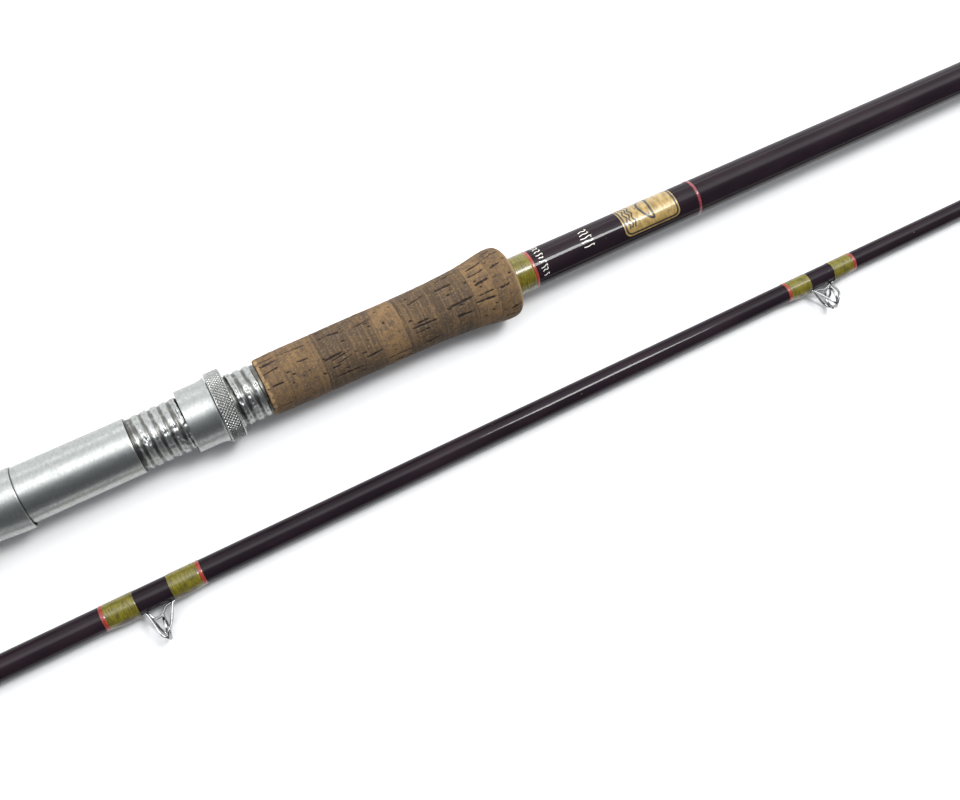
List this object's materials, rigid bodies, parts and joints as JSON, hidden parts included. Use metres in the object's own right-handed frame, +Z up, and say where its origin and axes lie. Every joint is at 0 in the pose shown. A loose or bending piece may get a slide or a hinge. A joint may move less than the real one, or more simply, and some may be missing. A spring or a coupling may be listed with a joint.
{
  "type": "spinning rod",
  "caption": "Glass-fibre spinning rod with cork grips, screw-locking aluminium reel seat and wire bridge guides, taken apart with its sections side by side.",
  "frame": {"origin": "centre of the bounding box on the surface the two sections lie on", "axes": "+X along both sections from the butt towards the tip, +Z up, -Y the way the line guides point"},
  "size_m": [1.71, 0.0866, 0.03],
  "materials": {
    "rubber": "matte",
    "cork": "sanded, worn",
    "arbor": "matte",
    "reel_seat": "satin, aged",
    "blank": "gloss varnish",
    "winding": "varnished thread",
    "red_winding": "varnished thread",
    "label": "gold transfer under varnish",
    "guide": "polished wire"
  },
  "bodies": {
    "butt_section": {"butt_button": "rubber", "rear_grip": "cork", "reel_seat_arbor": "arbor", "reel_seat_barrel": "reel_seat", "fixed_hood": "reel_seat", "fore_grip": "cork", "grip_winding": "winding", "label": "label", "red_band": "red_winding", "butt_blank": "blank", "spigot": "blank", "spigot_winding": "winding", "butt_guide_frame": "guide", "butt_guide_ring": "guide", "butt_guide_rear_winding": "winding", "butt_guide_front_winding": "winding", "second_guide_frame": "guide", "second_guide_ring": "guide", "second_guide_rear_winding": "winding", "second_guide_front_winding": "winding"},
    "hood": {"sliding_hood": "reel_seat"},
    "ring": {"locking_ring": "reel_seat"},
    "tip_section": {"tip_blank": "blank", "socket_winding": "winding", "tip_winding": "winding", "tip_top_tube": "guide", "tip_top_ring": "guide", "third_guide_frame": "guide", "third_guide_ring": "guide", "third_guide_rear_winding": "winding", "third_guide_front_winding": "winding", "fourth_guide_frame": "guide", "fourth_guide_ring": "guide", "fourth_guide_rear_winding": "winding", "fourth_guide_front_winding": "winding", "fifth_guide_frame": "guide", "fifth_guide_ring": "guide", "fifth_guide_rear_winding": "winding", "fifth_guide_front_winding": "winding", "sixth_guide_frame": "guide", "sixth_guide_ring": "guide", "sixth_guide_rear_winding": "winding", "sixth_guide_front_winding": "winding", "seventh_guide_frame": "guide", "seventh_guide_ring": "guide", "seventh_guide_rear_winding": "winding", "seventh_guide_front_winding": "winding", "eighth_guide_frame": "guide", "eighth_guide_ring": "guide", "eighth_guide_rear_winding": "winding", "eighth_guide_front_winding": "winding"}
  },
  "joints": [
    {"name": "hood_slide", "type": "slide", "parent": "butt_section", "child": "hood", "axis": [1, 0, 0], "range_m": [-0.02, 0.012]},
    {"name": "ring_spin", "type": "hinge", "parent": "hood", "child": "ring", "pos_m": [-0.42425, 0.02833, 0.015], "axis": [1, 0, 0], "range_deg": [-1950, 1170]},
    {"name": "tip_slide", "type": "slide", "parent": "butt_section", "child": "tip_section", "axis": [1, 0, 0], "range_m": [0, 1.26]}
  ],
  "couplings": [
    {"joint": "ring_spin", "follows": "hood_slide", "rad_per_m": 1698.2}
  ]
}
